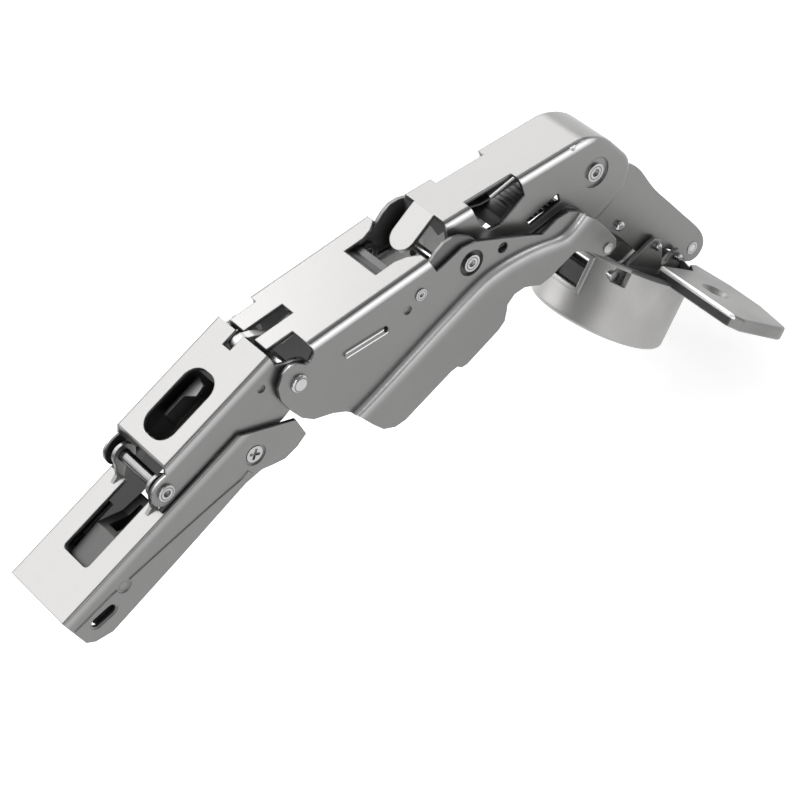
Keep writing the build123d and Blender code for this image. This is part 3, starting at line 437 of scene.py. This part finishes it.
# Sheet in the dark inside of the channels: darker copies of the plated finish, with painted shade in their
# colour
innerLook = dict(sheetLook, level=0.15, rough=0.4)
shadedInnerSheet = sheetSteel("shadedInnerSheet", innerLook)
# near-black copy: painted shade for the guide and the shields
paintedShadeSheet = sheetSteel("paintedShadeSheet", dict(innerLook, level=0.06))
# Pieces with a finish of their own: the inner sheets with painted shade, the round heads, and the bent
# channels with painted shade and highlights
ownFinishes = {
    "adjuster_bracket": shadedInnerSheet,
    "spring_plates": shadedInnerSheet,
    "inner_link": sheetSteel("linkSheet", dict(innerLook, level=0.4)),
}
for name, (axis, radius) in heads.items():
    ownFinishes[name] = polishedSteel(name.replace("_", " ") + " steel", pinLook, axis, radius)
for name, channel in channels.items():
    ownFinishes[name] = sheetSteel(name.replace("_", " ") + " sheet", sheetLook, channel)
for part in frame["record"]["subparts"]:
    materials = frame["nodes"][part["node"]].data.materials
    materials.clear()
    materials.append(ownFinishes.get(part["node"], finishes[part["material_slot"]]))
print("finishes set:", len(finishes), "for the slots and", len(ownFinishes), "for single pieces")

mergeWithin = 0.001 * mm


# A mesh from a grid of points: quads from each row to the next, closed across where asked, and a row that is
# drawn in to one place becomes one vertex
def surface(name, points, closed=False):
    rows, count = points.shape[:2]
    index = np.arange(rows * count).reshape(rows, count)
    if closed:
        index = np.concatenate([index, index[:, :1]], axis=1)
    corners = [index[:-1, :-1], index[1:, :-1], index[1:, 1:], index[:-1, 1:]]
    quads = np.stack(corners, axis=-1).reshape(-1, 4)
    mesh = bpy.data.meshes.new(name)
    mesh.from_pydata(points.reshape(-1, 3).tolist(), [], quads.tolist())
    mesh.polygons.foreach_set("use_smooth", np.ones(len(quads), dtype=bool))
    work = bmesh.new()
    work.from_mesh(mesh)
    bmesh.ops.remove_doubles(work, verts=work.verts, dist=mergeWithin)
    work.to_mesh(mesh)
    work.free()
    piece = bpy.data.objects.new(name, mesh)
    bpy.context.scene.collection.objects.link(piece)
    return piece


# Points at even steps along a line of x and z, and how far along the line each one is
def evenSteps(line, steps):
    line = np.array(line)
    length = np.concatenate([[0], np.cumsum(np.hypot(*np.diff(line, axis=0).T))])
    way = np.linspace(0, length[-1], steps)
    return np.interp(way, length, line[:, 0]), np.interp(way, length, line[:, 1]), way


# The rows of a tube with one more at each end, drawn in to the middle of its neighbour
def drawnIn(points):
    first = points[:1].mean(axis=1, keepdims=True).repeat(points.shape[1], axis=1)
    last = points[-1:].mean(axis=1, keepdims=True).repeat(points.shape[1], axis=1)
    return np.concatenate([first, points, last])


# Ribbed guide that closes the scissor link from below, seen through the slots of its sides, in a near-black
# sheet of painted shade
guide = {
    "line": [(93.6, -7.4), (97.0, -10.2), (101.0, -12.0), (105.0, -13.2), (108.4, -14.2)],
    "half": 6.1,
    "ribsFrom": 99.5,
    "ribsFade": 1.5,
    "ribPitch": 1.5,
    "ribHeight": 0.28,
    "edgePower": 6,
    "steps": 160,
    "across": 24,
}


def makeGuide():
    # a flat strip along the line, raised by a cosine of the way along that dies out towards both edges
    x, z, way = evenSteps(guide["line"], guide["steps"])
    across = np.linspace(-1, 1, guide["across"])
    ribs = np.cos(way * 2 * np.pi / guide["ribPitch"])
    ribs = ribs * np.clip((x - guide["ribsFrom"]) / guide["ribsFade"], 0, 1)
    points = np.empty((guide["steps"], guide["across"], 3))
    points[..., 0] = x[:, None]
    points[..., 1] = across * guide["half"]
    points[..., 2] = z[:, None] + guide["ribHeight"] * ribs[:, None] * (1 - across ** guide["edgePower"])
    piece = surface("springGuide", points * mm)
    piece.data.materials.append(paintedShadeSheet)
    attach(piece, "scissor")


# Dark shields of painted shade that close the gap below a channel's sides, where it lies in shade: the edge
# that they follow as x and z, how far they go above and below it, the distance of their middle from the
# hinge's, and their thickness
shields = {
    "armShield": {
        "edge": [(-3.8, 16.9), (3.0, 16.9), (12.0, 16.5), (15.8, 15.6)],
        "up": 1.0, "down": 4.0, "middle": 8.9, "thick": 0.5, "steps": 40, "rides": "arm",
    },
    "scissorShield": {
        "edge": [(87.0, -7.4), (92.0, -9.0), (99.4, -13.7), (108.0, -15.7), (110.3, -17.3), (111.6, -20.4)],
        "up": 1.2, "down": 3.4, "middle": 7.05, "thick": 0.5, "steps": 40, "rides": "scissor",
    },
}


def makeShield(name, shield, side):
    # a thin upright rectangle carried along the edge, on the near side at -1 and on the far side at 1
    x, z, _ = evenSteps(shield["edge"], shield["steps"])
    inner, outer = shield["middle"] - shield["thick"] / 2, shield["middle"] + shield["thick"] / 2
    up, down = shield["up"], -shield["down"]
    section = np.array([(inner, up), (outer, up), (outer, down), (inner, down)])[::side]
    points = np.empty((shield["steps"], len(section), 3))
    points[..., 0] = x[:, None]
    points[..., 1] = side * section[:, 0]
    points[..., 2] = z[:, None] + section[:, 1]
    piece = surface(name + ("Far" if side > 0 else "Near"), drawnIn(points) * mm, True)
    piece.data.materials.append(paintedShadeSheet)
    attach(piece, shield["rides"])


# Low wall of the cup's rim between the wings: its radii, its heights above the floor and half its angle
rimWall = {"inner": 16.7, "outer": 17.4, "low": 17.0, "high": 19.6, "halfAngle": 48.0, "steps": 40}


def makeRimWall():
    # an upright rectangle carried round the cup's axis
    angle = np.radians(np.linspace(-rimWall["halfAngle"], rimWall["halfAngle"], rimWall["steps"]))[:, None]
    radius = np.array([rimWall["inner"], rimWall["outer"], rimWall["outer"], rimWall["inner"]])
    height = np.array([rimWall["low"], rimWall["low"], rimWall["high"], rimWall["high"]])
    (floorX, floorZ), (axisX, axisZ) = cupPlace["floor"], cupPlace["axis"]
    across = np.cos(angle) * radius
    points = np.empty((rimWall["steps"], len(radius), 3))
    points[..., 0] = floorX + across * axisZ + height * axisX
    points[..., 1] = np.sin(angle) * radius
    points[..., 2] = floorZ - across * axisX + height * axisZ
    piece = surface("rimWall", drawnIn(points) * mm, True)
    piece.data.materials.append(finishes["cup_metal"])
    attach(piece, "cup")


makeGuide()
for name, shield in shields.items():
    for side in (-1, 1):
        makeShield(name, shield, side)
makeRimWall()
print("guide, shields and rim wall made")

# Stage: a pale floor just below the hinge and a white sky, both brighter to the eye than as light
stage = {"floorDrop": 0.5 * mm, "reach": 1.5, "bounce": 0.3, "shown": 0.5, "glow": 0.7, "sky": 0.3}


def makeFloor():
    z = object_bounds()[0][2] - stage["floorDrop"]
    r = stage["reach"]
    mesh = bpy.data.meshes.new("floor")
    mesh.from_pydata([(-r, -r, z), (r, -r, z), (r, r, z), (-r, r, z)], [], [(0, 1, 2, 3)])
    floor = bpy.data.objects.new("floor", mesh)
    bpy.context.scene.collection.objects.link(floor)
    shader = Shader("paleFloor")
    path = shader.tree.nodes.new("ShaderNodeLightPath")
    camera = Wire(shader.tree, path.outputs["Is Camera Ray"])
    glossy = Wire(shader.tree, path.outputs["Is Glossy Ray"])
    through = Wire(shader.tree, path.outputs["Is Transmission Ray"])
    shown = (camera + glossy + through).math("MINIMUM", 1.0)
    shader.set("Base Color", shader.blend(shown, grey(stage["bounce"]), grey(stage["shown"])))
    shader.set("Roughness", 1.0)
    shader.set("Specular IOR Level", 0.0)
    shader.set("Emission Color", shader.blend(shown, grey(0.0), grey(stage["glow"])))
    shader.set("Emission Strength", 1.0)
    mesh.materials.append(shader.material)


def makeSky():
    world = bpy.data.worlds.new("studio")
    bpy.context.scene.world = world
    world.use_nodes = True
    tree = world.node_tree
    background = tree.nodes["Background"]
    background.inputs["Color"].default_value = grey(1.0)
    camera = Wire(tree, tree.nodes.new("ShaderNodeLightPath").outputs["Is Camera Ray"])
    connect(tree, camera * (1.0 - stage["sky"]) + stage["sky"], background.inputs["Strength"])


# Lamps: wide soft boxes above, behind and to the left, and small ones in front, at the rear and to the right
lamps = {
    "top": {"at": (0.08, 0.53, 0.70), "aim": (0.02, 0, 0.0), "size": 0.9, "power": 9.8},
    "back": {"at": (0.77, 0.66, 0.38), "aim": (0.06, 0, -0.02), "size": 0.75, "power": 6.0},
    "front": {"at": (-0.05, -0.80, 0.66), "aim": (0.04, 0, -0.02), "size": 0.2, "power": 1.0},
    "rear": {"at": (-0.52, 0.60, 0.50), "aim": (0.06, 0, 0.0), "size": 0.4, "power": 1.2},
    "left": {"at": (-0.45, -0.85, 0.22), "aim": (0.08, 0, -0.04), "size": 0.8, "power": 2.8},
    "right": {"at": (0.9, -0.1, 0.4), "aim": (0.04, 0, -0.02), "size": 0.4, "power": 0.6},
}


def makeLamps():
    for name, lamp in lamps.items():
        data = bpy.data.lights.new(name, "AREA")
        data.shape = "SQUARE"
        data.size = lamp["size"]
        data.energy = lamp["power"]
        holder = bpy.data.objects.new(name, data)
        bpy.context.scene.collection.objects.link(holder)
        holder.location = lamp["at"]
        toward = Vector(lamp["aim"]) - Vector(lamp["at"])
        holder.rotation_euler = toward.to_track_quat("-Z", "Y").to_euler()


# Camera: where the photograph was taken from, with the picture's right and up as directions
view = {
    "at": (-2.3 * mm, -359.9 * mm, 440.0 * mm),
    "right": (0.676, -0.621, -0.397),
    "up": (0.731, 0.498, 0.467),
    "lens": 115.5,
    "sensor": 36.0,
    "clip": 0.01,
}


def makeCamera():
    data = bpy.data.cameras.new("camera")
    data.lens = view["lens"]
    data.sensor_width = view["sensor"]
    data.clip_start = view["clip"]
    holder = bpy.data.objects.new("camera", data)
    bpy.context.scene.collection.objects.link(holder)
    right = Vector(view["right"]).normalized()
    up = Vector(view["up"])
    up = (up - right * up.dot(right)).normalized()
    turn = Matrix((right, up, right.cross(up))).transposed().to_4x4()
    holder.matrix_world = Matrix.Translation(Vector(view["at"])) @ turn
    bpy.context.scene.camera = holder


makeFloor()
makeSky()
makeLamps()
makeCamera()
bpy.context.scene.view_settings.view_transform = "Standard"
print("stage, lamps and camera set")
